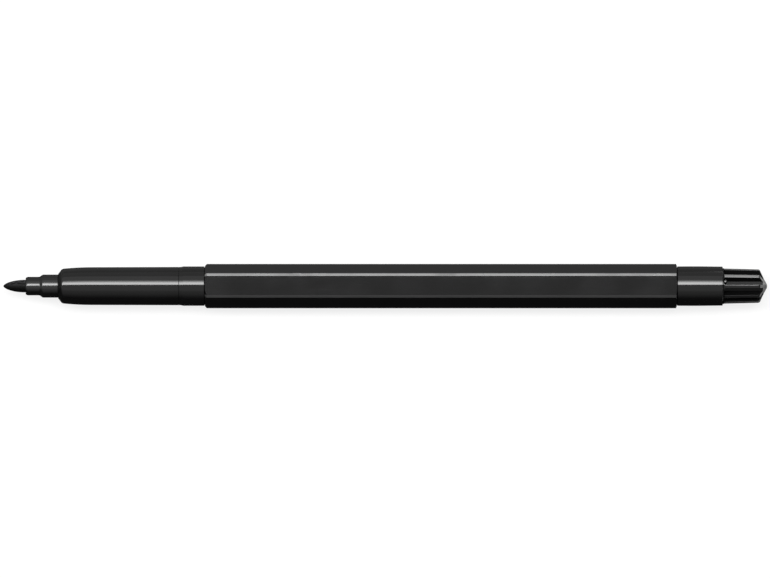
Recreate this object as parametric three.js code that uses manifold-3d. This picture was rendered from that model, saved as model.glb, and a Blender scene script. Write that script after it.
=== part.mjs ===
// A felt-tip pen without its cap, lying on one flat of its hexagonal barrel.
// Millimetres, +Z up. The pen's axis runs along X with the nib at -X and the end plug at +X.
// The origin is the middle of the pen's length, on the surface that it lies on.
import * as THREE from "three";
import * as BufferGeometryUtils from "three/addons/utils/BufferGeometryUtils.js";
import Module from "manifold-3d";

const wasm = await Module();
wasm.setup();

// Clearances between pieces
const PRESS_CLEARANCE = 0.05; // radial, around every spigot, shank and rod that sits in a bore
const FILM_CLEARANCE = 0.03; // radial, between the reservoir's core and its film
const END_CLEARANCE = 0.3; // along the axis, where an inner piece stops short of the next one

// Nib
const NIB_RADIUS = 1.25;
const NIB_EXPOSED = 4.4; // from the tip to the holder's front face
const NIB_BULLET = 4.32; // length of the rounded point
const NIB_FULLNESS = 1.25; // 1 makes an elliptical point, more makes it leaner
const NIB_IN_RESERVOIR = 7;
const NIB_TAIL_ROUND = 0.3;

// Nib holder
const HOLDER_WALL = 0.52; // around the nib, at the front step
const HOLDER_TIP_LENGTH = 2.71;
const HOLDER_TIP_ROUND = 0.3;
const HOLDER_CONE_LENGTH = 0.63;
const HOLDER_STEP = 0.445; // how far the rear step stands above the front one
const HOLDER_REAR_LENGTH = 3.01;
const HOLDER_SPIGOT_WALL = 0.5;
const HOLDER_SPIGOT_LENGTH = 6.5;
const AIR_CHANNELS = 4;
const AIR_CHANNEL_DEPTH = 0.25;
const AIR_CHANNEL_WIDTH = 0.5;

// Hexagonal barrel
const BARREL_LENGTH = 92.7;
const BARREL_ACROSS_FLATS = 7.8;
const HEXAGON_SIDES = 6;
const BARREL_CORNER_RADIUS = 0.99;
const BARREL_WALL = 0.8; // at the middle of a flat
const BARREL_FRONT_CHAMFER = 0.38; // along the axis, at the six corners
const BARREL_REAR_CHAMFER = 0.15;
const CHAMFER_LAND = 0.05; // the corner chamfers start this far outside the flats
const CENTRING_RIB_WIDTH = 0.8; // one rib under each corner
const CENTRING_RIB_RUN_OUT = 1; // from a spigot's end to the ribs
const RIB_ROOT = 0.2; // how deep a rib is rooted in the wall

// Front section
const NOSE_LENGTH = 23.75;
const NOSE_LIP = 0.51; // wall around the holder at the nose's front face
const NOSE_SHOULDER_LENGTH = 0.775;
const NOSE_SHOULDER_DROP = 0.355; // from the nose's rear edge down to its shoulder corner
const NOSE_CROWN_AT = 3.94; // middle of the long curve behind the shoulder
const NOSE_CROWN_DROP = 0.055;
const NOSE_CROWN_HALF = 2.75;
const NOSE_SHOULDER_ROUND = 0.4;
const NOSE_BULKHEAD = 6.75; // solid stretch that grips the holder
const NOSE_SPIGOT_WALL = 0.5;
const NOSE_SPIGOT_IN_BARREL = 8;

// Cap seat ring, between the front section and the barrel
const RING_LENGTH = 5.1;
const RING_INSET = 0.034; // below the barrel's flats
const RING_LAND = 0.35; // level with the nose, in front of the ramp that guides a cap
const RING_RAMP = 0.5;
const NOSE_INSET = 0.11; // of the nose's rear edge below the ring

// Reservoir
const FILM_THICKNESS = 0.12;

// Rear collar and end plug
const COLLAR_LENGTH = 9;
const COLLAR_INSET = 0.01; // of the collar's fullest ring below the barrel's flats
const COLLAR_FRONT_DROP = 0.02;
const COLLAR_REAR_DROP = 0.06;
const COLLAR_CREST_AT = 3.9;
const PLUG_SPIGOT_IN_BARREL = 9;
const PLUG_SPIGOT_WALL = 1.05;
const PLUG_HOLLOW_END = 1; // solid left between the hollow and the fluted end
const PLUG_SHOULDER = 0.39; // of the fluted end's front edge above the spigot
const PLUG_DRAFT = 0.19; // how much the fluted end narrows to its cone
const PLUG_FLUTED_LENGTH = 7.15;
const PLUG_CONE_LENGTH = 0.93; // from the fluted end to the steeper point
const PLUG_CONE_ROUND = 0.45;
const PLUG_POINT_LENGTH = 0.67;
const PLUG_POINT_RADIUS = 1.3;
const PLUG_TIP_RADIUS = 0.2;
const FLUTES = 10;
const FLUTE_DEPTH = 1.2;
const FLUTE_WIDTH = 0.87;
const FLUTE_START = 0.25; // behind the fluted end's front edge
const FLUTE_TURN = 3.2; // degrees from a barrel flat's middle to the nearest rib's

// Edges
const SEAM_ROUND = 0.1; // on edges that meet another piece
const EDGE_ROUND = 0.2; // on edges that stand free

// Fineness of the solids
const TURNED_SIDES = 40;
const NIB_STEPS = 12;
const EDGE_STEPS = 2; // on a rounded edge
const CURVE_STEPS = 6; // on a rounding longer than LONG_ROUND
const LONG_ROUND = 0.35;
const CORNER_STEPS = 3; // half the steps on one corner of the hexagon

// Radii that follow from the sizes above
const flatRadius = BARREL_ACROSS_FLATS / 2;
const cornerCentre = (flatRadius - BARREL_CORNER_RADIUS) / Math.cos(Math.PI / HEXAGON_SIDES);
const cornerRadius = cornerCentre + BARREL_CORNER_RADIUS;
const boreRadius = flatRadius - BARREL_WALL;
const spigotRadius = boreRadius - PRESS_CLEARANCE;
const nibBoreRadius = NIB_RADIUS + PRESS_CLEARANCE;
const holderTipRadius = nibBoreRadius + HOLDER_WALL;
const holderRearRadius = holderTipRadius + HOLDER_STEP;
const holderSpigotRadius = nibBoreRadius + HOLDER_SPIGOT_WALL;
const noseBoreRadius = holderSpigotRadius + PRESS_CLEARANCE;
const cavityRadius = spigotRadius - NOSE_SPIGOT_WALL;
const filmRadius = cavityRadius - PRESS_CLEARANCE;
const coreRadius = filmRadius - FILM_THICKNESS - FILM_CLEARANCE;
const ringRadius = flatRadius - RING_INSET;
const noseRearRadius = ringRadius - NOSE_INSET;
const collarRadius = flatRadius - COLLAR_INSET;
const plugRadius = spigotRadius + PLUG_SHOULDER;

// Stations along the axis, counted from the nib's tip
const holderAt = NIB_EXPOSED;
const noseAt = holderAt + HOLDER_TIP_LENGTH + HOLDER_CONE_LENGTH + HOLDER_REAR_LENGTH;
const ringAt = noseAt + NOSE_LENGTH;
const barrelAt = ringAt + RING_LENGTH;
const collarAt = barrelAt + BARREL_LENGTH;
const plugAt = collarAt + COLLAR_LENGTH;
const plugLength = PLUG_FLUTED_LENGTH + PLUG_CONE_LENGTH + PLUG_POINT_LENGTH;
const penLength = plugAt + plugLength;
const plugSpigotLength = COLLAR_LENGTH + PLUG_SPIGOT_IN_BARREL;
const reservoirAt = noseAt + NOSE_BULKHEAD + END_CLEARANCE;
const reservoirLength = plugAt - plugSpigotLength - END_CLEARANCE - reservoirAt;

// Colours and finishes
const blackPlastic = { color: 0x1b1b1c, roughness: 0.32, metalness: 0 };
const plugPlastic = { color: 0x202021, roughness: 0.42, metalness: 0 };
const nibFelt = { color: 0x2a2a2c, roughness: 0.95, metalness: 0 };
const reservoirFibre = { color: 0x38383c, roughness: 0.9, metalness: 0 };
const clearFilm = { color: 0x8c8f94, roughness: 0.25, metalness: 0 };

// A closed outline in the half plane of a turned piece. Each corner is [along, radius, round],
// where round is how much of both its edges the rounding takes.
function roundedOutline(corners) {
  const at = (corner) => new THREE.Vector2(corner[0], corner[1]);
  const points = [];
  corners.forEach((corner, i) => {
    const before = corners[i - 1];
    const after = corners[i + 1];
    const here = at(corner);
    if (!before || !after || !corner[2]) {
      points.push(here);
      return;
    }
    const toBefore = at(before).sub(here);
    const toAfter = at(after).sub(here);
    const shareBefore = toBefore.length() / (corner[2] + (before[2] ?? 0));
    const shareAfter = toAfter.length() / (corner[2] + (after[2] ?? 0));
    const reach = corner[2] * Math.min(1, shareBefore, shareAfter);
    const curve = new THREE.QuadraticBezierCurve(
      here.clone().add(toBefore.setLength(reach)),
      here,
      here.clone().add(toAfter.setLength(reach)),
    );
    points.push(...curve.getPoints(corner[2] > LONG_ROUND ? CURVE_STEPS : EDGE_STEPS));
  });
  return points;
}

// Merges shared vertices and drops the triangles that have shrunk to a line
function weld(geometry) {
  const bare = geometry.clone();
  bare.deleteAttribute("normal");
  bare.deleteAttribute("uv");
  const merged = BufferGeometryUtils.mergeVertices(bare, 1e-5);
  const index = merged.index.array;
  const kept = [];
  for (let i = 0; i < index.length; i += 3) {
    const [a, b, c] = index.slice(i, i + 3);
    if (a !== b && b !== c && c !== a) kept.push(a, b, c);
  }
  merged.setIndex(kept);
  return merged;
}

// A piece turned about the X axis from corners listed front to back on the outside
function turned(corners) {
  const profile = roundedOutline(corners).map((p) => new THREE.Vector2(Math.max(p.y, 0), p.x));
  return weld(new THREE.LatheGeometry(profile, TURNED_SIDES).rotateZ(-Math.PI / 2));
}

// A shape in the YZ plane drawn out along X from x = 0
function drawnOut(shape, length) {
  const options = { depth: length, bevelEnabled: false, curveSegments: CORNER_STEPS };
  return weld(new THREE.ExtrudeGeometry(shape, options).rotateY(Math.PI / 2));
}

function toSolid(geometry) {
  return new wasm.Manifold(
    new wasm.Mesh({
      numProp: 3,
      vertProperties: new Float32Array(geometry.attributes.position.array),
      triVerts: new Uint32Array(geometry.index.array),
    }),
  );
}

function toGeometry(solid) {
  const mesh = solid.getMesh();
  const geometry = new THREE.BufferGeometry();
  geometry.setAttribute("position", new THREE.BufferAttribute(mesh.vertProperties, 3));
  geometry.setIndex(new THREE.BufferAttribute(mesh.triVerts, 1));
  geometry.computeVertexNormals();
  return geometry;
}

// Copies of a geometry spaced evenly about the X axis, the first one turned by an angle
function aroundAxis(geometry, count, firstAngle) {
  const copies = [];
  for (let i = 0; i < count; i++) {
    copies.push(geometry.clone().rotateX(firstAngle + (i * 2 * Math.PI) / count));
  }
  return copies;
}

function piece(name, geometry, material, station) {
  const mesh = new THREE.Mesh(geometry, new THREE.MeshStandardMaterial(material));
  mesh.name = name;
  mesh.position.x = station;
  return mesh;
}

// Compressed fibre rod with a bullet point; its shank runs back into the reservoir
function nib() {
  const point = [];
  for (let i = 0; i <= NIB_STEPS; i++) {
    const angle = (i / NIB_STEPS) * (Math.PI / 2);
    const radius = NIB_RADIUS * Math.sin(angle) ** NIB_FULLNESS;
    point.push([NIB_BULLET * (1 - Math.cos(angle)), radius]);
  }
  const tail = reservoirAt + NIB_IN_RESERVOIR;
  return turned([...point, [tail, NIB_RADIUS, NIB_TAIL_ROUND], [tail, 0]]);
}

// Stepped ferrule; its bore has channels that let air into the pen as ink leaves it
function nibHolder() {
  const coneAt = HOLDER_TIP_LENGTH;
  const rearAt = coneAt + HOLDER_CONE_LENGTH;
  const seatAt = rearAt + HOLDER_REAR_LENGTH;
  const end = seatAt + HOLDER_SPIGOT_LENGTH;
  const body = turned([
    [0, 0],
    [0, holderTipRadius, HOLDER_TIP_ROUND],
    [coneAt, holderTipRadius, SEAM_ROUND],
    [rearAt, holderRearRadius, SEAM_ROUND],
    [seatAt, holderRearRadius, SEAM_ROUND],
    [seatAt, holderSpigotRadius],
    [end, holderSpigotRadius, SEAM_ROUND],
    [end, 0],
  ]);
  const overrun = END_CLEARANCE;
  const bore = turned([
    [-overrun, 0],
    [-overrun, nibBoreRadius],
    [end + overrun, nibBoreRadius],
    [end + overrun, 0],
  ]);
  const channelReach = nibBoreRadius + AIR_CHANNEL_DEPTH;
  const channel = new THREE.BoxGeometry(end + 2 * overrun, AIR_CHANNEL_WIDTH, channelReach);
  channel.translate(end / 2, 0, channelReach / 2);
  const cutters = aroundAxis(weld(channel), AIR_CHANNELS, Math.PI / AIR_CHANNELS);
  const hollow = cutters.reduce((solid, cutter) => solid.add(toSolid(cutter)), toSolid(bore));
  return toGeometry(toSolid(body).subtract(hollow));
}

// Round grip section with the steep shoulder; its spigot passes through the ring into the barrel
function frontSection() {
  const end = NOSE_LENGTH + RING_LENGTH + NOSE_SPIGOT_IN_BARREL;
  const rear = noseRearRadius;
  return turned([
    [0, noseBoreRadius],
    [0, noseBoreRadius + NOSE_LIP, SEAM_ROUND],
    [NOSE_SHOULDER_LENGTH, rear - NOSE_SHOULDER_DROP, NOSE_SHOULDER_ROUND],
    [NOSE_CROWN_AT, rear - NOSE_CROWN_DROP, NOSE_CROWN_HALF],
    [NOSE_LENGTH, rear, SEAM_ROUND],
    [NOSE_LENGTH, spigotRadius],
    [end, spigotRadius, SEAM_ROUND],
    [end, cavityRadius],
    [NOSE_BULKHEAD, cavityRadius],
    [NOSE_BULKHEAD, noseBoreRadius],
    [0, noseBoreRadius],
  ]);
}

// Ring on the front section's spigot, with a ramp that guides a cap over it
function capSeatRing() {
  return turned([
    [0, boreRadius],
    [0, noseRearRadius, SEAM_ROUND],
    [RING_LAND, noseRearRadius, SEAM_ROUND],
    [RING_LAND + RING_RAMP, ringRadius, SEAM_ROUND],
    [RING_LENGTH, ringRadius, SEAM_ROUND],
    [RING_LENGTH, boreRadius],
    [0, boreRadius],
  ]);
}

// Hexagon with rounded corners and one flat facing down
function hexagon() {
  const shape = new THREE.Shape();
  const halfStep = Math.PI / HEXAGON_SIDES;
  for (let i = 0; i < HEXAGON_SIDES; i++) {
    const corner = halfStep * (2 * i + 1);
    shape.absarc(
      cornerCentre * Math.cos(corner),
      cornerCentre * Math.sin(corner),
      BARREL_CORNER_RADIUS,
      corner - halfStep,
      corner + halfStep,
      false,
    );
  }
  return shape;
}

// Hexagonal tube with ribs in its bore that centre the reservoir between the two spigots
function hexBarrel() {
  const land = flatRadius + CHAMFER_LAND;
  const clear = BARREL_ACROSS_FLATS;
  const coneLength = (chamfer) => (chamfer * (clear - land)) / (cornerRadius - land);
  const turnedEnds = turned([
    [0, 0],
    [0, land],
    [coneLength(BARREL_FRONT_CHAMFER), clear],
    [BARREL_LENGTH - coneLength(BARREL_REAR_CHAMFER), clear],
    [BARREL_LENGTH, land],
    [BARREL_LENGTH, 0],
  ]);
  const bore = turned([
    [-END_CLEARANCE, 0],
    [-END_CLEARANCE, boreRadius],
    [BARREL_LENGTH + END_CLEARANCE, boreRadius],
    [BARREL_LENGTH + END_CLEARANCE, 0],
  ]);
  const ribsFrom = NOSE_SPIGOT_IN_BARREL + CENTRING_RIB_RUN_OUT;
  const ribsTo = BARREL_LENGTH - PLUG_SPIGOT_IN_BARREL - CENTRING_RIB_RUN_OUT;
  const ribHeight = boreRadius + RIB_ROOT - cavityRadius;
  const rib = new THREE.BoxGeometry(ribsTo - ribsFrom, CENTRING_RIB_WIDTH, ribHeight);
  rib.translate((ribsFrom + ribsTo) / 2, 0, cavityRadius + ribHeight / 2);
  const tube = toSolid(drawnOut(hexagon(), BARREL_LENGTH))
    .intersect(toSolid(turnedEnds))
    .subtract(toSolid(bore));
  const ribs = aroundAxis(weld(rib), HEXAGON_SIDES, Math.PI / HEXAGON_SIDES);
  return toGeometry(ribs.reduce((solid, one) => solid.add(toSolid(one)), tube));
}

// Fibre rod that holds the ink, with the socket that the nib's tail presses into it
function reservoirCore() {
  const socket = NIB_IN_RESERVOIR + END_CLEARANCE;
  return turned([
    [socket, 0],
    [socket, nibBoreRadius],
    [0, nibBoreRadius],
    [0, coreRadius],
    [reservoirLength, coreRadius],
    [reservoirLength, 0],
  ]);
}

// Thin film wrapped around the fibre rod, open at both ends
function reservoirFilm() {
  const inside = filmRadius - FILM_THICKNESS;
  return turned([
    [0, inside],
    [0, filmRadius],
    [reservoirLength, filmRadius],
    [reservoirLength, inside],
    [0, inside],
  ]);
}

// Slightly crowned ring that sits on the end plug's spigot, behind the barrel
function rearCollar() {
  return turned([
    [0, boreRadius],
    [0, collarRadius - COLLAR_FRONT_DROP, SEAM_ROUND],
    [COLLAR_CREST_AT, collarRadius, COLLAR_CREST_AT / 2],
    [COLLAR_LENGTH, collarRadius - COLLAR_REAR_DROP, SEAM_ROUND],
    [COLLAR_LENGTH, boreRadius],
    [0, boreRadius],
  ]);
}

// One flute: round-bottomed, with a round front end, and open at the back
function fluteCutter() {
  const half = FLUTE_WIDTH / 2;
  const bottom = plugRadius - FLUTE_DEPTH + half;
  const start = FLUTE_START + half;
  const end = plugLength + FLUTE_WIDTH;
  const plan = new THREE.Shape();
  plan.moveTo(end, half);
  plan.absarc(start, 0, half, Math.PI / 2, (3 * Math.PI) / 2, false);
  plan.lineTo(end, -half);
  plan.closePath();
  const options = { depth: plugRadius, bevelEnabled: false, curveSegments: CURVE_STEPS };
  const walls = new THREE.ExtrudeGeometry(plan, options).translate(0, 0, bottom);
  const floor = new THREE.CapsuleGeometry(half, end - start, CURVE_STEPS, 2 * CURVE_STEPS);
  floor.rotateZ(Math.PI / 2).translate((start + end) / 2, 0, bottom);
  return toSolid(weld(walls)).add(toSolid(weld(floor)));
}

// Plug pressed into the barrel's end, with a fluted post for the cap and a blunt cone
function endPlug() {
  const pointAt = PLUG_FLUTED_LENGTH + PLUG_CONE_LENGTH;
  const hollowRadius = spigotRadius - PLUG_SPIGOT_WALL;
  const body = turned([
    [-PLUG_HOLLOW_END, 0],
    [-PLUG_HOLLOW_END, hollowRadius],
    [-plugSpigotLength, hollowRadius],
    [-plugSpigotLength, spigotRadius, EDGE_ROUND],
    [0, spigotRadius],
    [0, plugRadius, SEAM_ROUND],
    [PLUG_FLUTED_LENGTH, plugRadius - PLUG_DRAFT, PLUG_CONE_ROUND],
    [pointAt, PLUG_POINT_RADIUS],
    [plugLength, PLUG_TIP_RADIUS, PLUG_TIP_RADIUS],
    [plugLength, 0],
  ]);
  const step = 360 / FLUTES;
  let plug = toSolid(body);
  for (let i = 0; i < FLUTES; i++) {
    const angle = FLUTE_TURN + step * (i + 1 / 2);
    plug = plug.subtract(fluteCutter().rotate([angle, 0, 0]));
  }
  return toGeometry(plug);
}

const pen = new THREE.Group();
pen.name = "felt_tip_pen";
pen.position.set(-penLength / 2, 0, flatRadius);
pen.add(
  piece("nib", nib(), nibFelt, 0),
  piece("nib_holder", nibHolder(), blackPlastic, holderAt),
  piece("front_section", frontSection(), blackPlastic, noseAt),
  piece("cap_seat_ring", capSeatRing(), blackPlastic, ringAt),
  piece("hex_barrel", hexBarrel(), blackPlastic, barrelAt),
  piece("reservoir_core", reservoirCore(), reservoirFibre, reservoirAt),
  piece("reservoir_film", reservoirFilm(), clearFilm, reservoirAt),
  piece("rear_collar", rearCollar(), blackPlastic, collarAt),
  piece("end_plug", endPlug(), plugPlastic, plugAt),
);

export default pen;
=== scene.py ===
import math

import bmesh
import bpy
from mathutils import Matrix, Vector, noise


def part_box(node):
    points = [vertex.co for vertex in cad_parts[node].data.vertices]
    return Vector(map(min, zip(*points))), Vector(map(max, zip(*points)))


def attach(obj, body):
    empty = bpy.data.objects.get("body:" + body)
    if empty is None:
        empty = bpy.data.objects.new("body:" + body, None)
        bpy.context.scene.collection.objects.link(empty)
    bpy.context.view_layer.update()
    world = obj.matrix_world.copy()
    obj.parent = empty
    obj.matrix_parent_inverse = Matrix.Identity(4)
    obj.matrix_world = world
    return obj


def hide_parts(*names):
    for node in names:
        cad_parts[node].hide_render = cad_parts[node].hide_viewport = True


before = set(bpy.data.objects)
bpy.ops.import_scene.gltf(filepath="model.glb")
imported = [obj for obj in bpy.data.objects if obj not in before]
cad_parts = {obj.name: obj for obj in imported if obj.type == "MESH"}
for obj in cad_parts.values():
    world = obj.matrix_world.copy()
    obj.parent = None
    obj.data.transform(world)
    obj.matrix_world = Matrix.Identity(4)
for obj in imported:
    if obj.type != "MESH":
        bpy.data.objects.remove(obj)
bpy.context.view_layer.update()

# A felt-tip pen lying on one flat of its hexagonal barrel, seen from above.
# Lengths are in metres; MM turns a size in millimetres into metres.
MM = 0.001
TURN = 2 * math.pi

# Fineness of the meshes
TURNED_SIDES = 144
EDGE_STEPS = 4
CURVE_STEPS = 14
LONG_ROUND = 0.35 * MM
SHARP_ANGLE = math.radians(32)
# Bend at which an edge gets its full wear and painted highlight
FULL_EDGE_BEND = math.radians(25)
WELD = 1e-8
ON_AXIS = 1e-7
NO_LENGTH = 1e-9

# Roundings and seams on the turned pieces
SEAM_ROUND = 0.1 * MM
SEAM_GAP = 0.13 * MM
SEAM_DEPTH = 0.3 * MM
FINE_ROUND = 0.05 * MM

# Nib
NIB_BULLET = 4.32 * MM
NIB_FULLNESS = 1.18
NIB_TAIL_ROUND = 0.3 * MM
NIB_POINT_RINGS = 44
NIB_SHANK_RINGS = 24
FELT_ROUGH = 0.011 * MM
FELT_SUNK = 0.75
FELT_FINER = 2.7
FELT_GRAIN_ALONG = 700
FELT_GRAIN_ROUND = 9
FELT_EVEN_BELOW = 0.4 * MM
FELT_LEAST_RADIUS = 0.01 * MM

# Nib holder, counted from its front face
HOLDER_WALL = 0.52 * MM
HOLDER_BEVEL_LENGTH = 0.36 * MM
HOLDER_BEVEL_DROP = 0.2 * MM
HOLDER_TIP_LENGTH = 2.71 * MM
HOLDER_CONE_LENGTH = 0.63 * MM
HOLDER_SPIGOT_WALL = 0.5 * MM
PRESS_CLEARANCE = 0.05 * MM
AIR_CHANNELS = 4
AIR_CHANNEL_DEPTH = 0.25 * MM
AIR_CHANNEL_WIDTH = 0.5 * MM

# Front section
NOSE_LIP = 0.51 * MM
NOSE_SHOULDER_LENGTH = 0.775 * MM
NOSE_SHOULDER_DROP = 0.355 * MM
NOSE_SHOULDER_ROUND = 0.4 * MM
NOSE_CROWN_AT = 3.94 * MM
NOSE_CROWN_DROP = 0.055 * MM
NOSE_CROWN_HALF = 2.75 * MM
NOSE_BULKHEAD = 6.75 * MM
NOSE_SPIGOT_WALL = 0.5 * MM

# Cap seat ring
RING_LAND = 0.35 * MM
RING_RAMP = 0.5 * MM

# Hexagonal barrel
HEXAGON_SIDES = 6
CROWN_RADIUS = 3 * MM
CROWN_HALF_ANGLE = math.radians(5)
BARREL_WALL = 0.8 * MM
BARREL_FRONT_CHAMFER = 0.38 * MM
BARREL_REAR_CHAMFER = 0.15 * MM
CHAMFER_LAND = 0.05 * MM
CROWN_STEPS = 8
BLEND_STEPS = 6
FLAT_STEPS = 8
LONG_STEPS = 40
THIN = 0.002 * MM
RIB_WIDTH = 0.8 * MM
RIB_RUN_OUT = 1 * MM
NOSE_SPIGOT_IN_BARREL = 8 * MM
PLUG_SPIGOT_IN_BARREL = 9 * MM

# Reservoir
FILM_THICKNESS = 0.12 * MM
FILM_SEAM = 0.05 * MM
FILM_OVERLAP = math.radians(35)
NIB_IN_RESERVOIR = 7 * MM
END_CLEARANCE = 0.3 * MM

# Rear collar
COLLAR_INSET = 0.01 * MM
COLLAR_FRONT_DROP = 0.02 * MM
COLLAR_REAR_DROP = 0.06 * MM
COLLAR_CREST_AT = 3.9 * MM

# End plug, counted from its shoulder against the collar
PLUG_SPIGOT_WALL = 1.05 * MM
PLUG_HOLLOW_END = 1 * MM
PLUG_SHOULDER = 0.49 * MM
PLUG_SHOULDER_ROUND = 0.15 * MM
PLUG_DRAFT = 0.19 * MM
PLUG_FLUTED_LENGTH = 7.25 * MM
PLUG_CONE_LENGTH = 0.89 * MM
PLUG_CONE_ROUND = 0.3 * MM
PLUG_POINT_RADIUS = 1.34 * MM
PLUG_POINT_ROUND = 0.3 * MM
PLUG_TIP_RADIUS = 0.3 * MM
# Between the ribs and the cone a band gets no wear or painted highlight; the cone gets a share of both
PLUG_BARE_BAND = 0.3 * MM
PLUG_CONE_WEAR_AND_HIGHLIGHT = 0.63
PLUG_RING = 0.12 * MM

# Flutes of the end plug; the two limits are shares of a flute's pitch and of its depth
FLUTES = 10
FLUTE_DEPTH = 1.7 * MM
FLUTE_WIDTH = 0.66 * MM
FLUTE_LEAN = math.radians(15.2)
FLUTE_SLIT = 0.02 * MM
FLUTE_START = 0.15 * MM
FLUTE_START_RINGS = 12
FLUTE_RINGS = 12
FLUTE_TURN = math.radians(3.2)
FLUTE_FLOOR_STEPS = 12
FLUTE_MOUTH_LIMIT = 0.42
RIB_CREST_STEPS = 10
RIB_EDGE_ROUND = 0.06 * MM
RIB_ROUND_LIMIT = 0.45

# Stub that moulding left in one flute
GATE_FLUTE = 9
GATE_RADIUS = 0.4 * MM
GATE_DROP = 0.1 * MM
GATE_SIDES = 28
GATE_DOME_STEPS = 8
# Above this rise the stub's dome is torn pale and carries a painted highlight, by the share below
GATE_PALE_FROM = math.radians(35)
GATE_WEAR_AND_HIGHLIGHT = 0.57

# Plastic: its darkness, and the stretch across the pen over which the painted highlight on its edges
# grows from the -Y side to the +Y side
PLASTIC_BLACK = 0.005
PAINTED_HIGHLIGHT_GROWS = (-0.15 * MM, 0.45 * MM)

# Floor: its grey and its glow make it white to the camera. In reflections it is painted: dim up to the
# pen and towards -Y as painted shade, brighter towards +Y, and white beyond the pen's end, but not far
# towards -Y, as painted light. Each of these changes runs over a stretch of the floor.
FLOOR_HALF = 600 * MM
FLOOR_Z = -0.02 * MM
FLOOR_GREY = 0.2
FLOOR_GLOW = 0.82
FLOOR_REFLECTED = (0.016, 0.185)
FLOOR_BRIGHTENS = (2 * MM, 11 * MM)
FLOOR_ENDS = (73 * MM, 81 * MM)
FLOOR_COMES_NEAR = (-60 * MM, -30 * MM)

# World in reflections: a base, and soft steps (from, to, change) by degrees from straight up
# towards +Y. It fades to a share where its direction turns towards +X.
WORLD_BASE = 0.012
WORLD_STEPS = ((-84, -36, 0.24), (-38, -24, 0.16), (-1.8, 1.8, -0.16), (10, 50, 0.08))
WORLD_FADES = (0.3, 0.65)
WORLD_FADED = 0.12

# Key light and fill: angles from straight above towards +Y
KEY_FROM = math.radians(6)
KEY_TO = math.radians(36)
KEY_MIDDLE = math.radians(13.5)
KEY_SPREAD = math.radians(11.5)
KEY_STRIPS = 6
KEY_PEAK = 8.9
KEY_DISTANCE = 1.1
KEY_AHEAD = 1.57
KEY_BEHIND = 0.585
FILL_TOWARD = math.radians(48)
FILL_WIDTH = math.radians(24)
FILL_RADIANCE = 0.23

# The photograph's view
PHOTO_WIDTH, PHOTO_HEIGHT = 770, 578
PIXELS_PER_METRE = 5090
PEN_MIDDLE = (385.25, 286.1)
CAMERA_DISTANCE = 3
CAMERA_REACH = 10
CAMERA_TILT = math.radians(2)
SENSOR_WIDTH = 36


def span(node):
    """First and last place of a CAD node along the pen."""
    low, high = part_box(node)
    return low[0], high[0]


def radius(node):
    """Largest radius of a CAD node, as its width across the pen shows it."""
    low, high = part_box(node)
    return (high[1] - low[1]) / 2


def barrel_flat_radius():
    """Half the barrel's width across its flats."""
    low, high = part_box("hex_barrel")
    return (high[2] - low[2]) / 2


AXIS_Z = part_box("hex_barrel")[0][2] + barrel_flat_radius()
BORE_RADIUS = barrel_flat_radius() - BARREL_WALL
SPIGOT_RADIUS = BORE_RADIUS - PRESS_CLEARANCE
CAVITY_RADIUS = SPIGOT_RADIUS - NOSE_SPIGOT_WALL
NIB_BORE_RADIUS = radius("nib") + PRESS_CLEARANCE


# Meshes

def curve(start, corner, end, t):
    """A place between start and end, on the curve that rounds their corner."""
    return start * (1 - t) ** 2 + corner * 2 * t * (1 - t) + end * t ** 2


def rounded_outline(corners):
    """Points of an outline whose corners are (along, radius) or (along, radius, round).
    A round takes that much of both its edges, or what they have."""
    rounds = [corner[2] if len(corner) > 2 else 0 for corner in corners]
    points = []
    for i, corner in enumerate(corners):
        here = Vector(corner[:2])
        reach = rounds[i]
        if not reach or i in (0, len(corners) - 1):
            points.append((here.x, here.y))
            continue
        arms = []
        for other in (i - 1, i + 1):
            arm = Vector(corners[other][:2]) - here
            arms.append((arm.normalized(), arm.length / (reach + rounds[other])))
        reach *= min(1, arms[0][1], arms[1][1])
        start, end = here + arms[0][0] * reach, here + arms[1][0] * reach
        steps = CURVE_STEPS if rounds[i] > LONG_ROUND else EDGE_STEPS
        for k in range(steps + 1):
            point = curve(start, here, end, k / steps)
            points.append((point.x, point.y))
    return points


def link_object(name, data):
    obj = bpy.data.objects.new(name, data)
    bpy.context.scene.collection.objects.link(obj)
    return obj


def add_object(name, vertices, faces, edge=None):
    """A smooth mesh object; edge holds one number per vertex that says how exposed it is to wear and how
    strongly the painted edge highlight shows there.
    """
    mesh = bpy.data.meshes.new(name)
    mesh.from_pydata(vertices, [], faces)
    mesh.validate()
    mesh.update()
    if edge is not None:
        layer = mesh.attributes.new("edge", "FLOAT", "POINT")
        layer.data.foreach_set("value", edge)
    welded = bmesh.new()
    welded.from_mesh(mesh)
    bmesh.ops.remove_doubles(welded, verts=welded.verts, dist=WELD)
    welded.to_mesh(mesh)
    welded.free()
    mesh.shade_smooth()
    mesh.set_sharp_from_angle(angle=SHARP_ANGLE)
    return link_object(name, mesh)


def skin(rings, closed=False):
    """Vertices and faces of a surface through rings of as many points. A ring of one point is a pole."""
    vertices, starts = [], []
    for ring in rings:
        starts.append(len(vertices))
        vertices.extend(ring)
    faces = []
    pairs = list(zip(range(len(rings) - 1), range(1, len(rings))))
    if closed:
        pairs.append((len(rings) - 1, 0))
    for a, b in pairs:
        na, nb = len(rings[a]), len(rings[b])
        count = max(na, nb)
        for k in range(count):
            nxt = (k + 1) % count
            corners = [starts[a] + (k if na > 1 else 0), starts[a] + (nxt if na > 1 else 0),
                       starts[b] + (nxt if nb > 1 else 0), starts[b] + (k if nb > 1 else 0)]
            faces.append([c for i, c in enumerate(corners) if c not in corners[:i]])
    return vertices, faces


def on_circle(x, r, angle):
    """A point round the pen's axis; angle 0 faces up and grows towards -Y."""
    return (x, -r * math.sin(angle), AXIS_Z + r * math.cos(angle))


def angles_round(sides):
    return [TURN * k / sides for k in range(sides)]


def ring_of(x, r):
    """A round ring, or one point where it shrinks onto the axis."""
    if r <= ON_AXIS:
        return [(x, 0, AXIS_Z)]
    return [on_circle(x, r, angle) for angle in angles_round(TURNED_SIDES)]


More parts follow.
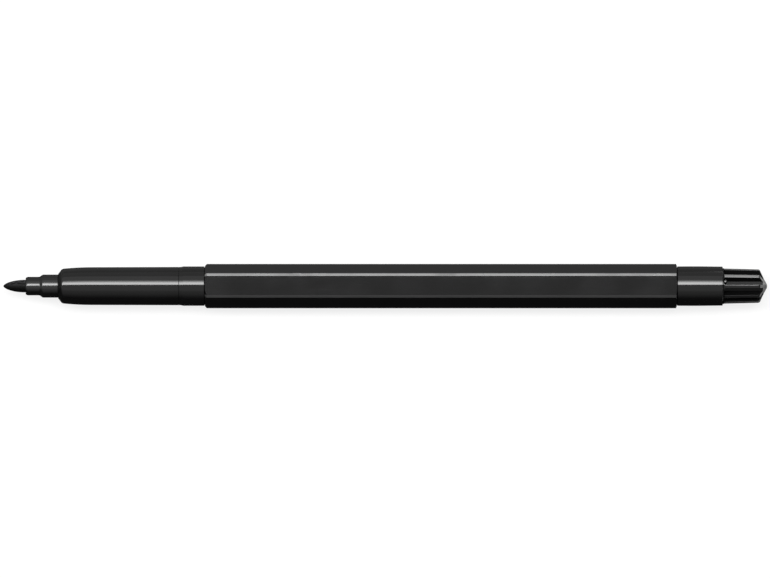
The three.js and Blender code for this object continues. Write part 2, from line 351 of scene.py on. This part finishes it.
def edge_wear_and_highlight(profile, closed):
    """How sharply the outline turns at each of its points, from 0 on a straight to 1 at a corner."""
    wear_and_highlight = []
    for i, point in enumerate(profile):
        before = profile[i - 1] if i or closed else point
        after = profile[(i + 1) % len(profile)] if i + 1 < len(profile) or closed else point
        a, b = Vector(point) - Vector(before), Vector(after) - Vector(point)
        bend = a.angle(b) if a.length > NO_LENGTH and b.length > NO_LENGTH else 0
        wear_and_highlight.append(min(1, bend / FULL_EDGE_BEND))
    return wear_and_highlight


def per_point(wear_and_highlight, rings):
    """The share of wear and painted highlight of each ring, once for each of its points."""
    return [w for w, ring in zip(wear_and_highlight, rings) for _ in ring]


def turned(name, corners, closed=False):
    """A turned piece. Its outline runs front to back on the outside; a closed one is a tube."""
    profile = rounded_outline(corners)
    if closed:
        profile = profile[:-1]
    rings = [ring_of(x, r) for x, r in profile]
    vertices, faces = skin(rings, closed)
    return add_object(name, vertices, faces, per_point(edge_wear_and_highlight(profile, closed), rings))


def felt_ring(x, even):
    """A ring of the nib whose points lie a little under the even radius, as felt does."""
    ring = []
    for angle in angles_round(TURNED_SIDES):
        spot = Vector((x * FELT_GRAIN_ALONG, math.cos(angle) * FELT_GRAIN_ROUND,
                       math.sin(angle) * FELT_GRAIN_ROUND))
        rough = FELT_ROUGH * (noise.noise(spot) + 0.5 * noise.noise(spot * FELT_FINER) - FELT_SUNK)
        r = even + rough * min(1, even / FELT_EVEN_BELOW)
        ring.append(on_circle(x, max(r, FELT_LEAST_RADIUS), angle))
    return ring


def make_nib():
    front, back = span("nib")
    r = radius("nib")
    profile = []
    for i in range(NIB_POINT_RINGS + 1):
        angle = i / NIB_POINT_RINGS * math.pi / 2
        x = front + NIB_BULLET * (1 - math.cos(angle))
        profile.append((x, r * math.sin(angle) ** NIB_FULLNESS))
    start = front + NIB_BULLET
    end = back - NIB_TAIL_ROUND
    for i in range(1, NIB_SHANK_RINGS + 1):
        profile.append((start + (end - start) * i / NIB_SHANK_RINGS, r))
    profile += [(back, r - NIB_TAIL_ROUND), (back, 0)]
    rings = [felt_ring(x, even) if even > ON_AXIS else ring_of(x, 0) for x, even in profile]
    vertices, faces = skin(rings)
    return add_object("felt_nib", vertices, faces)


def channelled_ring(x, bore):
    """A ring of the holder's bore, with its air channels."""
    half = AIR_CHANNEL_WIDTH / 2 / bore
    pitch = TURN / AIR_CHANNELS
    points = []
    for angle in angles_round(TURNED_SIDES):
        off = abs(angle % pitch - pitch / 2)
        points.append(on_circle(x, bore + AIR_CHANNEL_DEPTH if off < half else bore, angle))
    return points


def make_nib_holder():
    front, back = span("nib_holder")
    seat = span("front_section")[0]
    tip = NIB_BORE_RADIUS + HOLDER_WALL
    rear = radius("nib_holder")
    spigot = NIB_BORE_RADIUS + HOLDER_SPIGOT_WALL
    cone = front + HOLDER_TIP_LENGTH
    outside = rounded_outline([
        (front, NIB_BORE_RADIUS + AIR_CHANNEL_DEPTH + FINE_ROUND),
        (front, tip - HOLDER_BEVEL_DROP, FINE_ROUND),
        (front + HOLDER_BEVEL_LENGTH, tip, HOLDER_BEVEL_DROP),
        (cone, tip, SEAM_ROUND),
        (cone + HOLDER_CONE_LENGTH, rear, SEAM_ROUND),
        (seat, rear, SEAM_ROUND),
        (seat, spigot, FINE_ROUND),
        (back, spigot, SEAM_ROUND),
        (back, NIB_BORE_RADIUS + AIR_CHANNEL_DEPTH + FINE_ROUND),
    ])
    rings = [ring_of(x, r) for x, r in outside]
    rings += [channelled_ring(back, NIB_BORE_RADIUS), channelled_ring(front, NIB_BORE_RADIUS)]
    wear_and_highlight = edge_wear_and_highlight(outside, False) + [0, 0]
    vertices, faces = skin(rings, closed=True)
    return add_object("holder", vertices, faces, per_point(wear_and_highlight, rings))


def make_front_section():
    front, back = span("front_section")
    seam = span("cap_seat_ring")[0]
    bore = NIB_BORE_RADIUS + HOLDER_SPIGOT_WALL + PRESS_CLEARANCE
    rear = radius("front_section")
    return turned("grip_section", [
        (front, bore),
        (front, bore + NOSE_LIP, SEAM_ROUND),
        (front + NOSE_SHOULDER_LENGTH, rear - NOSE_SHOULDER_DROP, NOSE_SHOULDER_ROUND),
        (front + NOSE_CROWN_AT, rear - NOSE_CROWN_DROP, NOSE_CROWN_HALF),
        (seam, rear, SEAM_ROUND),
        (seam, SPIGOT_RADIUS, FINE_ROUND),
        (back, SPIGOT_RADIUS, SEAM_ROUND),
        (back, CAVITY_RADIUS, FINE_ROUND),
        (front + NOSE_BULKHEAD, CAVITY_RADIUS, FINE_ROUND),
        (front + NOSE_BULKHEAD, bore, FINE_ROUND),
        (front, bore),
    ], closed=True)


def make_cap_seat_ring():
    """The ring ramps up to the barrel, where a chamfer keeps the seam between them dark."""
    front, back = span("cap_seat_ring")
    low = radius("front_section")
    full = radius("cap_seat_ring")
    return turned("seat_ring", [
        (front, BORE_RADIUS),
        (front, low, SEAM_ROUND),
        (front + RING_LAND, low, SEAM_ROUND),
        (front + RING_LAND + RING_RAMP, full, SEAM_ROUND),
        (back - SEAM_GAP, full, SEAM_ROUND),
        (back, full - SEAM_DEPTH),
        (back, BORE_RADIUS),
        (front, BORE_RADIUS),
    ], closed=True)


def make_rear_collar():
    """The collar swells a little behind its chamfered seam and is narrowest at the plug."""
    front, back = span("rear_collar")
    full = barrel_flat_radius() - COLLAR_INSET
    return turned("collar", [
        (front, BORE_RADIUS),
        (front, full - COLLAR_FRONT_DROP - SEAM_DEPTH),
        (front + SEAM_GAP, full - COLLAR_FRONT_DROP, SEAM_ROUND),
        (front + COLLAR_CREST_AT, full, COLLAR_CREST_AT / 2),
        (back, full - COLLAR_REAR_DROP, SEAM_ROUND),
        (back, BORE_RADIUS),
        (front, BORE_RADIUS),
    ], closed=True)


def hexagon_loop():
    """Points round the barrel as (radius, angle, share of wear and painted highlight): flats, small
    blends and crowned corners.
    """
    flat = barrel_flat_radius()
    over = radius("hex_barrel")
    step = TURN / HEXAGON_SIDES
    lean = step / 2 - CROWN_HALF_ANGLE
    crown_centre = over - CROWN_RADIUS
    reach = crown_centre * math.cos(step / 2) + CROWN_RADIUS * math.cos(lean)
    blend = (flat - reach) / (1 - math.cos(lean))
    centre_n = flat - blend
    centre_t = crown_centre * math.sin(step / 2) + (CROWN_RADIUS - blend) * math.sin(lean)
    half = [(centre_n + blend * math.cos(lean * k / BLEND_STEPS),
             centre_t + blend * math.sin(lean * k / BLEND_STEPS), k / BLEND_STEPS)
            for k in range(BLEND_STEPS + 1)]
    for k in range(1, CROWN_STEPS // 2):
        turn = lean + CROWN_HALF_ANGLE * 2 * k / CROWN_STEPS
        half.append((crown_centre * math.cos(step / 2) + CROWN_RADIUS * math.cos(turn),
                     crown_centre * math.sin(step / 2) + CROWN_RADIUS * math.sin(turn), 1))
    points = []
    for i in range(HEXAGON_SIDES):
        facing = step * i
        for n, t, wear_and_highlight in reversed(half):
            points.append((math.hypot(n, t), facing - math.atan2(t, n), wear_and_highlight))
        for k in range(1, FLAT_STEPS):
            t = centre_t * (2 * k / FLAT_STEPS - 1)
            points.append((math.hypot(flat, t), facing + math.atan2(t, flat), 0))
        for n, t, wear_and_highlight in half:
            points.append((math.hypot(n, t), facing + math.atan2(t, n), wear_and_highlight))
        points.append((over, facing + step / 2, 1))
    return points


def barrel_bore(loop, front, back):
    """Rings of the barrel's bore from back to front, with low ribs that centre the reservoir."""
    half_rib = RIB_WIDTH / 2 / CAVITY_RADIUS
    step = TURN / HEXAGON_SIDES
    ribs_from = front + NOSE_SPIGOT_IN_BARREL + RIB_RUN_OUT
    ribs_to = back - PLUG_SPIGOT_IN_BARREL - RIB_RUN_OUT
    rings = []
    for x, ribbed in ((back, False), (ribs_to, False), (ribs_to - FINE_ROUND, True),
                      (ribs_from + FINE_ROUND, True), (ribs_from, False), (front, False)):
        ring = []
        for _, a, _ in loop:
            off = abs(a % step - step / 2)
            ring.append(on_circle(x, CAVITY_RADIUS if ribbed and off < half_rib else BORE_RADIUS, a))
        rings.append(ring)
    return rings


def make_hex_barrel():
    front, back = span("hex_barrel")
    loop = hexagon_loop()
    land = barrel_flat_radius() + CHAMFER_LAND
    over = max(r for r, _, _ in loop)

    def inset(r, chamfer):
        """How far from the barrel's end a corner point of radius r leaves the chamfer's cone."""
        return max(THIN, chamfer * (r - land) / (over - land))

    rings = [[on_circle(front, min(r, land), a) for r, a, _ in loop],
             [on_circle(front + inset(r, BARREL_FRONT_CHAMFER), r, a) for r, a, _ in loop]]
    lead = 2 * BARREL_FRONT_CHAMFER
    for k in range(LONG_STEPS - 1):
        x = front + lead + (back - front - 2 * lead) * k / (LONG_STEPS - 2)
        rings.append([on_circle(x, r, a) for r, a, _ in loop])
    rings.append([on_circle(back - inset(r, BARREL_REAR_CHAMFER), r, a) for r, a, _ in loop])
    rings.append([on_circle(back, min(r, land), a) for r, a, _ in loop])
    edge = [w for _ in rings for _, _, w in loop]
    bore = barrel_bore(loop, front, back)
    edge += [0] * len(loop) * len(bore)
    vertices, faces = skin(rings + bore, closed=True)
    return add_object("barrel", vertices, faces, edge)


def flute_angle(i):
    """Where the middle of a flute lies round the plug."""
    return FLUTE_TURN + TURN / FLUTES * (i + 0.5)


def flute_section(x, r, start, bottom):
    """A flute's section at x, where the ribs reach radius r: half its floor's width, the lean of its
    walls, half its mouth's width, the mouth's height above the axis, and its depth. The flute begins
    round at start and has a flat floor at bottom. Ahead of start its mouth lies on the round plug."""
    half = FLUTE_WIDTH / 2
    ahead = min(half, max(0, start + half - x))
    width = max(math.sqrt(half ** 2 - ahead ** 2), FLUTE_SLIT)
    lean = math.tan(FLUTE_LEAN) * width / half
    mouth, height = width, 0
    if r > bottom:
        root = width - bottom * lean
        height = (math.sqrt(r ** 2 * (1 + lean ** 2) - root ** 2) - root * lean) / (1 + lean ** 2)
        mouth = root + lean * height
    depth = max(0, height - bottom) if x > start else 0
    if not depth:
        mouth = min(mouth, r * math.sin(TURN / FLUTES * FLUTE_MOUTH_LIMIT))
        height = math.sqrt(r ** 2 - mouth ** 2)
    return width, lean, mouth, height, depth


def flute_loop(x, r, start, bottom):
    """One ring of the end plug at x, where its ribs reach radius r, as points and their share of wear
    and painted highlight.
    """
    width, lean, mouth, height, depth = flute_section(x, r, start, bottom)
    ease = min(RIB_EDGE_ROUND, RIB_ROUND_LIMIT * depth)
    eased_angle = math.atan2(mouth, height) + ease / r
    points, wear_and_highlight = [], []
    for i in range(FLUTES):
        at = flute_angle(i)

        def local(t, h):
            """Adds a point of this flute, t across it and h above the axis."""
            points.append(on_circle(x, math.hypot(t, h), at + math.atan2(t, h)))

        for side in (-1, 1):
            corner = Vector((side * mouth, height))
            crest = Vector((side * r * math.sin(eased_angle), r * math.cos(eased_angle)))
            wall = Vector((side * (mouth - lean * ease), height - ease))
            steps = [k / EDGE_STEPS for k in range(EDGE_STEPS + 1)]
            for t in steps if side < 0 else reversed(steps):
                point = curve(crest, corner, wall, t)
                local(point.x, point.y)
                wear_and_highlight.append((1 - t) ** 3)
            if side < 0:
                reach = width if depth else mouth
                for k in range(FLUTE_FLOOR_STEPS + 1):
                    t = reach * (2 * k / FLUTE_FLOOR_STEPS - 1)
                    local(t, bottom if depth else math.sqrt(r ** 2 - t ** 2))
                    wear_and_highlight.append(0 if depth else 1)
        rib = TURN / FLUTES - 2 * eased_angle
        for k in range(1, RIB_CREST_STEPS):
            points.append(on_circle(x, r, at + eased_angle + rib * k / RIB_CREST_STEPS))
            wear_and_highlight.append(1)
    return points, wear_and_highlight


def gate_mark(x, top, root):
    """The stub that moulding left at the round start of one flute: a pin from root up to a domed top.
    It comes with the share of wear and painted highlight of its points: its dome's top is torn a little
    pale and carries a painted highlight."""
    turn = flute_angle(GATE_FLUTE)
    rises = [math.pi / 2 * k / GATE_DOME_STEPS for k in range(GATE_DOME_STEPS)]
    outline = [(root, GATE_RADIUS, 0)]
    outline += [(top - GATE_RADIUS * (1 - math.sin(rise)), GATE_RADIUS * math.cos(rise),
                 GATE_WEAR_AND_HIGHLIGHT if rise > GATE_PALE_FROM else 0) for rise in rises]
    rings, wear_and_highlight = [[on_circle(x, root, turn)]], [0]
    for height, r, torn_and_highlight in outline:
        ring = []
        for angle in angles_round(GATE_SIDES):
            along, t = x + r * math.cos(angle), r * math.sin(angle)
            ring.append(on_circle(along, math.hypot(t, height), turn + math.atan2(t, height)))
        rings.append(ring)
        wear_and_highlight += [torn_and_highlight] * GATE_SIDES
    rings.append([on_circle(x, top, turn)])
    return *skin(rings), wear_and_highlight + [GATE_WEAR_AND_HIGHLIGHT]


def plug_stations(outside, start):
    """The plug's outline, with more points where its flutes start, along them and on its cone."""
    half = FLUTE_WIDTH / 2
    stations = []
    for before, after in zip(outside, outside[1:]):
        stations.append(before)
        length = after[0] - before[0]
        extra = []
        if before[0] < start < after[0]:
            extra = [start + half * (1 - math.cos(math.pi / 2 * k / FLUTE_START_RINGS))
                     for k in range(FLUTE_START_RINGS + 1)]
            extra += [start + half + (after[0] - start - half) * k / FLUTE_RINGS
                      for k in range(1, FLUTE_RINGS)]
        elif before[0] > start and length > 2 * PLUG_RING:
            count = math.ceil(length / PLUG_RING)
            extra = [before[0] + length * k / count for k in range(1, count)]
        for x in extra:
            stations.append((x, before[1] + (after[1] - before[1]) * (x - before[0]) / length))
    stations.append(outside[-1])
    return stations


def make_end_plug():
    low, tip = span("end_plug")
    shoulder = span("rear_collar")[1]
    full = SPIGOT_RADIUS + PLUG_SHOULDER
    hollow = SPIGOT_RADIUS - PLUG_SPIGOT_WALL
    outside = rounded_outline([
        (shoulder - PLUG_HOLLOW_END, 0),
        (shoulder - PLUG_HOLLOW_END, hollow, FINE_ROUND),
        (low, hollow, FINE_ROUND),
        (low, SPIGOT_RADIUS, SEAM_ROUND),
        (shoulder, SPIGOT_RADIUS, FINE_ROUND),
        (shoulder, full, PLUG_SHOULDER_ROUND),
        (shoulder + PLUG_FLUTED_LENGTH, full - PLUG_DRAFT, PLUG_CONE_ROUND),
        (shoulder + PLUG_FLUTED_LENGTH + PLUG_CONE_LENGTH, PLUG_POINT_RADIUS, PLUG_POINT_ROUND),
        (tip, PLUG_TIP_RADIUS, PLUG_TIP_RADIUS),
        (tip, 0),
    ])
    start = shoulder + FLUTE_START
    bottom = full - FLUTE_DEPTH
    half = FLUTE_WIDTH / 2
    ribs_from = start + half / 2
    ribs_end = shoulder + PLUG_FLUTED_LENGTH - PLUG_BARE_BAND / 2
    cone_from = ribs_end + PLUG_BARE_BAND
    rings, edge = [], []
    for x, r in plug_stations(outside, start):
        if r <= ON_AXIS:
            rings.append(ring_of(x, 0))
            edge.append(0)
            continue
        points, wear_and_highlight = flute_loop(x, r, start, bottom)
        rings.append(points)
        # Wear and painted highlight: full on the ribs, none on the band before the cone, a share on the
        # cone
        share = 1 if ribs_from < x < ribs_end else PLUG_CONE_WEAR_AND_HIGHLIGHT if x > cone_from else 0
        edge += [w * share for w in wear_and_highlight]
    vertices, faces = skin(rings)
    pin_vertices, pin_faces, pin_wear_and_highlight = gate_mark(start + half, full - GATE_DROP, bottom - GATE_DROP)
    faces += [[len(vertices) + corner for corner in face] for face in pin_faces]
    vertices += pin_vertices
    edge += pin_wear_and_highlight
    return add_object("fluted_plug", vertices, faces, edge)


def make_reservoir_core():
    front, back = span("reservoir_core")
    socket = front + NIB_IN_RESERVOIR + END_CLEARANCE
    r = radius("reservoir_core")
    return turned("ink_core", [
        (socket, 0),
        (socket, NIB_BORE_RADIUS, FINE_ROUND),
        (front, NIB_BORE_RADIUS, FINE_ROUND),
        (front, r, SEAM_ROUND),
        (back, r, SEAM_ROUND),
        (back, 0),
    ])


def make_reservoir_film():
    """The film's overlap shows as one low step along its length."""
    front, back = span("reservoir_film")
    outer = radius("reservoir_film")
    inner = outer - FILM_THICKNESS
    rings = []
    for x, wall in ((front, inner), (front, outer), (back, outer), (back, inner)):
        ring = []
        for angle in angles_round(TURNED_SIDES):
            step = 0 if angle < FILM_OVERLAP or wall == inner else FILM_SEAM
            ring.append(on_circle(x, wall - step, angle))
        rings.append(ring)
    vertices, faces = skin(rings, closed=True)
    return add_object("core_film", vertices, faces)


# Materials

class Nodes:
    """Adds nodes to one material or world and links them."""

    def __init__(self, owner):
        owner.use_nodes = True
        self.tree = owner.node_tree
        self.tree.nodes.clear()

    def add(self, kind, inputs=(), **settings):
        """A node whose inputs are plain values or the sockets that feed them."""
        made = self.tree.nodes.new(kind)
        for key, value in settings.items():
            setattr(made, key, value)
        for key, value in dict(inputs).items():
            if isinstance(value, bpy.types.NodeSocket):
                self.tree.links.new(value, made.inputs[key])
            else:
                made.inputs[key].default_value = value
        return made

    def place(self):
        """Where a point lies on its piece."""
        return self.add("ShaderNodeTexCoord").outputs["Object"]

    def parts(self, vector):
        """The x, y and z of a vector."""
        return self.add("ShaderNodeSeparateXYZ", {0: vector}).outputs

    def shown(self):
        """1 for what the camera sees, straight or through clear film, and 0 for what is reflected."""
        rays = self.add("ShaderNodeLightPath").outputs
        return self.maths("MAXIMUM", rays["Is Camera Ray"], rays["Is Transmission Ray"])

    def maths(self, operation, a, b=0.0, clamp=False):
        return self.add("ShaderNodeMath", {0: a, 1: b}, operation=operation, use_clamp=clamp).outputs[0]

    def spread(self, value, ends, to=(0.0, 1.0)):
        """Maps the stretch between two ends to another one, clamped and eased."""
        inputs = {0: value, 1: ends[0], 2: ends[1], 3: to[0], 4: to[1]}
        return self.add("ShaderNodeMapRange", inputs, interpolation_type="SMOOTHSTEP").outputs[0]

    def noise(self, place, scale, detail, stretch=(1, 1, 1)):
        moved = self.add("ShaderNodeMapping", {"Vector": place, "Scale": stretch}).outputs[0]
        inputs = {"Vector": moved, "Scale": scale, "Detail": detail}
        return self.add("ShaderNodeTexNoise", inputs).outputs[0]

    def mix(self, share, a, b):
        """A colour between a and b, which are the node's inputs 6 and 7."""
        return self.add("ShaderNodeMix", {0: share, 6: a, 7: b}, data_type="RGBA").outputs[2]

    def bump(self, height, strength, distance):
        inputs = {"Height": height, "Strength": strength, "Distance": distance}
        return self.add("ShaderNodeBump", inputs).outputs[0]

    def principled(self, inputs):
        """The material's surface."""
        self.out(self.add("ShaderNodeBsdfPrincipled", inputs).outputs[0])

    def out(self, shader, kind="ShaderNodeOutputMaterial"):
        self.add(kind, {"Surface": shader})


def grey(value, tint=0.0):
    """A grey, bluer by the share tint."""
    return (value, value, value * (1 + tint), 1)


def moulded_plastic(name, roughness, peel, gloss=0.75, wear_and_highlight_plus_y=0.0, wear_and_highlight_minus_y=0.0, wear_and_highlight_grey=0.9):
    """Black moulded plastic: orange peel, fine handling scratches and faint haze. Its edges are painted
    pale and shiny, a painted highlight with patchy wear in it, strong towards +Y and weak towards -Y."""
    material = bpy.data.materials.new(name)
    n = Nodes(material)
    place = n.place()
    haze = n.noise(place, scale=160, detail=4)
    scratches = n.noise(place, scale=900, detail=6, stretch=(0.12, 3, 3))
    rubbed = n.noise(place, scale=420, detail=5, stretch=(0.3, 1, 1))
    fine = n.noise(place, scale=2600, detail=2)
    edge = n.add("ShaderNodeAttribute", attribute_name="edge").outputs["Fac"]
    # Painted highlight: corners and rib crests are painted pale and metallic, more on the +Y side where
    # the key light falls; the rubbed noise adds patchy wear
    wear_and_highlight = n.maths("MULTIPLY", n.spread(edge, (0.2, 0.95)), n.spread(rubbed, (0.1, 0.6), to=(0.72, 1.0)))
    across = n.parts(place)[1]
    wear_and_highlight = n.maths("MULTIPLY", wear_and_highlight, n.spread(across, PAINTED_HIGHLIGHT_GROWS, to=(wear_and_highlight_minus_y, wear_and_highlight_plus_y)))
    darker, paler = grey(PLASTIC_BLACK * 0.9), grey(PLASTIC_BLACK * 1.12, tint=0.03)
    body = n.mix(n.spread(haze, (0.35, 0.75)), darker, paler)
    hazy = n.spread(haze, (0.3, 0.8), to=(roughness - 0.01, roughness + 0.015))
    rough = n.maths("ADD", hazy, n.spread(scratches, (0.6, 0.85), to=(0, 0.06)))
    relief = n.maths("ADD", n.maths("MULTIPLY", fine, peel), n.maths("MULTIPLY", scratches, 0.35))
    n.principled({
        "Base Color": n.mix(n.maths("POWER", wear_and_highlight, 2), body, grey(wear_and_highlight_grey)),
        "Roughness": n.maths("ADD", rough, n.maths("MULTIPLY", wear_and_highlight, 0.2)),
        "Metallic": n.maths("MULTIPLY", wear_and_highlight, 1.6, clamp=True),
        "Specular IOR Level": gloss,
        "Normal": n.bump(relief, strength=0.12, distance=0.02 * MM),
    })
    return material


def ink_felt():
    """Pressed felt soaked with ink: long fibres in a matt pile, with painted light making it lighter
    towards +Y.
    """
    material = bpy.data.materials.new("ink_felt")
    n = Nodes(material)
    place = n.place()
    fibres = n.noise(place, scale=3400, detail=6, stretch=(0.16, 1, 1))
    clumps = n.noise(place, scale=1900, detail=4)
    # Painted light: the felt's colour is lighter towards +Y, the side the key light falls on
    across = n.spread(n.parts(place)[1], (-0.05 * MM, 1.15 * MM))
    paler = n.mix(across, grey(0.002), grey(0.085, tint=0.05))
    tone = n.mix(n.spread(fibres, (0.38, 0.58)), grey(0.002), paler)
    n.principled({
        "Base Color": n.mix(n.spread(clumps, (0.4, 0.65), to=(0, 0.6)), tone, grey(0.004)),
        "Roughness": n.spread(clumps, (0.2, 0.8), to=(0.46, 0.6)),
        "Specular IOR Level": 0.12,
        "Sheen Weight": 0.02,
        "Sheen Roughness": 0.4,
        "Normal": n.bump(fibres, strength=0.8, distance=0.04 * MM),
    })
    return material


def fibre_core():
    """Bundled polyester fibre, dark with ink, with its fibres running along the pen."""
    material = bpy.data.materials.new("fibre_core")
    n = Nodes(material)
    place = n.place()
    fibres = n.noise(place, scale=3200, detail=5, stretch=(0.04, 1, 1))
    soaked = n.noise(place, scale=120, detail=3)
    tone = n.mix(n.spread(fibres, (0.35, 0.7)), grey(0.01, tint=0.1), grey(0.075, tint=0.08))
    n.principled({
        "Base Color": n.mix(n.spread(soaked, (0.35, 0.7), to=(0, 0.6)), tone, grey(0.014, tint=0.15)),
        "Roughness": n.spread(fibres, (0.3, 0.7), to=(0.55, 0.85)),
        "Normal": n.bump(fibres, strength=0.6, distance=0.04 * MM),
    })
    return material


def clear_film():
    """Thin clear film wrapped round the core, faintly wrinkled."""
    material = bpy.data.materials.new("clear_film")
    n = Nodes(material)
    wrinkles = n.noise(n.place(), scale=300, detail=4, stretch=(0.5, 2, 2))
    folds = (0.3, 0.8)
    n.principled({
        "Base Color": n.mix(n.spread(wrinkles, folds), grey(0.42, tint=0.04), grey(0.56, tint=0.04)),
        "Roughness": n.spread(wrinkles, folds, to=(0.12, 0.26)),
        "Alpha": n.spread(wrinkles, folds, to=(0.3, 0.42)),
        "Normal": n.bump(wrinkles, strength=0.25, distance=0.03 * MM),
    })
    return material


def finish_piece(obj, material, slot, body, *nodes):
    """Gives a piece its material, its body and the CAD nodes that it stands for. The slot is not used.
    """
    obj.data.materials.clear()
    obj.data.materials.append(material)
    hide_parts(*nodes)
    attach(obj, body)


def dress_pen():
    smooth = moulded_plastic("black_plastic", roughness=0.09, peel=0.6)
    # The barrel's corners and the plug's ribs get a painted highlight with some wear, strong towards +Y
    # and weak towards -Y
    hexed = moulded_plastic("barrel_plastic", roughness=0.09, peel=0.6,
                            wear_and_highlight_plus_y=0.9, wear_and_highlight_minus_y=0.27, wear_and_highlight_grey=0.95)
    holder = moulded_plastic("holder_plastic", roughness=0.18, peel=0.3, gloss=1.0)
    plug = moulded_plastic("plug_plastic", roughness=0.1, peel=0.4, gloss=0.42,
                           wear_and_highlight_plus_y=0.85, wear_and_highlight_minus_y=0.12)
    finish_piece(make_nib(), ink_felt(), "nib_felt", "nib", "nib")
    finish_piece(make_nib_holder(), holder, "holder_plastic", "pen", "nib_holder")
    finish_piece(make_front_section(), smooth, "barrel_plastic", "pen", "front_section")
    finish_piece(make_cap_seat_ring(), smooth, "barrel_plastic", "pen", "cap_seat_ring")
    finish_piece(make_hex_barrel(), hexed, "barrel_plastic", "pen", "hex_barrel")
    finish_piece(make_reservoir_core(), fibre_core(), "reservoir_fibre", "pen", "reservoir_core")
    finish_piece(make_reservoir_film(), clear_film(), "reservoir_film", "pen", "reservoir_film")
    finish_piece(make_rear_collar(), smooth, "barrel_plastic", "end_plug", "rear_collar")
    finish_piece(make_end_plug(), plug, "plug_plastic", "end_plug", "end_plug")


# Stage, light and camera

def make_floor():
    """A pale floor: white to the camera and through clear film, under the pen's shadow. In the
    reflections on
    its black plastic it is painted: dim as painted shade near the pen, and bright as painted light
    beyond it."""
    mesh = bpy.data.meshes.new("floor")
    ways = ((-1, -1), (1, -1), (1, 1), (-1, 1))
    mesh.from_pydata([(x * FLOOR_HALF, y * FLOOR_HALF, FLOOR_Z) for x, y in ways], [], [(0, 1, 2, 3)])
    floor = link_object("floor", mesh)
    material = bpy.data.materials.new("floor_paper")
    n = Nodes(material)
    x, y = n.parts(n.place())[:2]
    # Painted shade and light seen only in reflections: dim near the pen and towards -Y, brighter towards
    # +Y and beyond the pen's end
    beside = n.spread(y, FLOOR_BRIGHTENS, to=FLOOR_REFLECTED)
    beyond = n.maths("MULTIPLY", n.spread(x, FLOOR_ENDS), n.spread(y, FLOOR_COMES_NEAR))
    reflected = n.mix(n.maths("MAXIMUM", beside, beyond), grey(0.0), grey(1.0))
    shown = n.shown()
    paper = n.add("ShaderNodeBsdfDiffuse", {"Color": n.mix(shown, reflected, grey(FLOOR_GREY))})
    glow = n.maths("MULTIPLY", shown, FLOOR_GLOW)
    lift = n.add("ShaderNodeEmission", {"Color": grey(1.0), "Strength": glow})
    both = n.add("ShaderNodeAddShader", {0: paper.outputs[0], 1: lift.outputs[0]})
    n.out(both.outputs[0])
    mesh.materials.append(material)


def make_world():
    """White to the camera and through clear film. What the pen reflects is dark at the -Y horizon,
    brightest between there and straight up, a step darker past straight up, and fades towards +X."""
    world = bpy.data.worlds.new("studio")
    bpy.context.scene.world = world
    n = Nodes(world)
    x, y, z = n.parts(n.add("ShaderNodeTexCoord").outputs["Generated"])
    toward = n.maths("ARCTAN2", y, z)
    lit = WORLD_BASE
    for low, high, change in WORLD_STEPS:
        ends = (math.radians(low), math.radians(high))
        lit = n.maths("ADD", lit, n.spread(toward, ends, to=(0, change)))
    lit = n.maths("MULTIPLY", lit, n.spread(x, WORLD_FADES, to=(1.0, WORLD_FADED)))
    around = n.add("ShaderNodeBackground", {"Color": grey(1.0), "Strength": lit})
    white = n.add("ShaderNodeBackground", {"Color": grey(1.0), "Strength": 1.0})
    both = n.add("ShaderNodeMixShader", {0: n.shown(), 1: around.outputs[0], 2: white.outputs[0]})
    n.out(both.outputs[0], "ShaderNodeOutputWorld")


def strip_light(name, toward, width, radiance):
    """A long soft strip parallel to the pen, tilted by an angle towards +Y from straight above.
    It reaches farther ahead of the nib than behind the end plug."""
    data = bpy.data.lights.new(name, "AREA")
    data.shape = "RECTANGLE"
    data.size = KEY_AHEAD + KEY_BEHIND
    data.size_y = 2 * KEY_DISTANCE * math.tan(width / 2)
    data.energy = radiance * math.pi * data.size * data.size_y
    lamp = link_object(name, data)
    lamp.location = ((KEY_BEHIND - KEY_AHEAD) / 2, KEY_DISTANCE * math.sin(toward),
                     AXIS_Z + KEY_DISTANCE * math.cos(toward))
    lamp.rotation_euler = (-toward, 0, 0)


def make_lights():
    """One key whose brightness falls off softly towards +Y, made of strips side by side, and a fill."""
    width = (KEY_TO - KEY_FROM) / KEY_STRIPS
    for i in range(KEY_STRIPS):
        toward = KEY_FROM + width * (i + 0.5)
        radiance = KEY_PEAK * math.exp(-((toward - KEY_MIDDLE) / KEY_SPREAD) ** 2)
        strip_light(f"key_{i + 1}", toward, width, radiance)
    strip_light("fill", FILL_TOWARD, FILL_WIDTH, FILL_RADIANCE)


def make_camera():
    """The photograph's camera, which looks down a little off straight, with the pen at its place."""
    data = bpy.data.cameras.new("camera")
    data.sensor_width = SENSOR_WIDTH
    data.lens = SENSOR_WIDTH * CAMERA_DISTANCE * PIXELS_PER_METRE / PHOTO_WIDTH
    data.clip_end = CAMERA_REACH
    camera = link_object("camera", data)
    across = (PHOTO_WIDTH / 2 - PEN_MIDDLE[0]) / PIXELS_PER_METRE
    above = (PEN_MIDDLE[1] - PHOTO_HEIGHT / 2) / PIXELS_PER_METRE
    up = Vector((0, math.cos(CAMERA_TILT), math.sin(CAMERA_TILT)))
    back = Vector((0, -math.sin(CAMERA_TILT), math.cos(CAMERA_TILT)))
    target = Vector((across, 0, AXIS_Z)) + up * above
    camera.location = target + back * CAMERA_DISTANCE
    camera.rotation_euler = (CAMERA_TILT, 0, 0)
    bpy.context.scene.camera = camera


bpy.context.scene.view_settings.view_transform = "Standard"
make_camera()
dress_pen()
make_floor()
make_world()
make_lights()
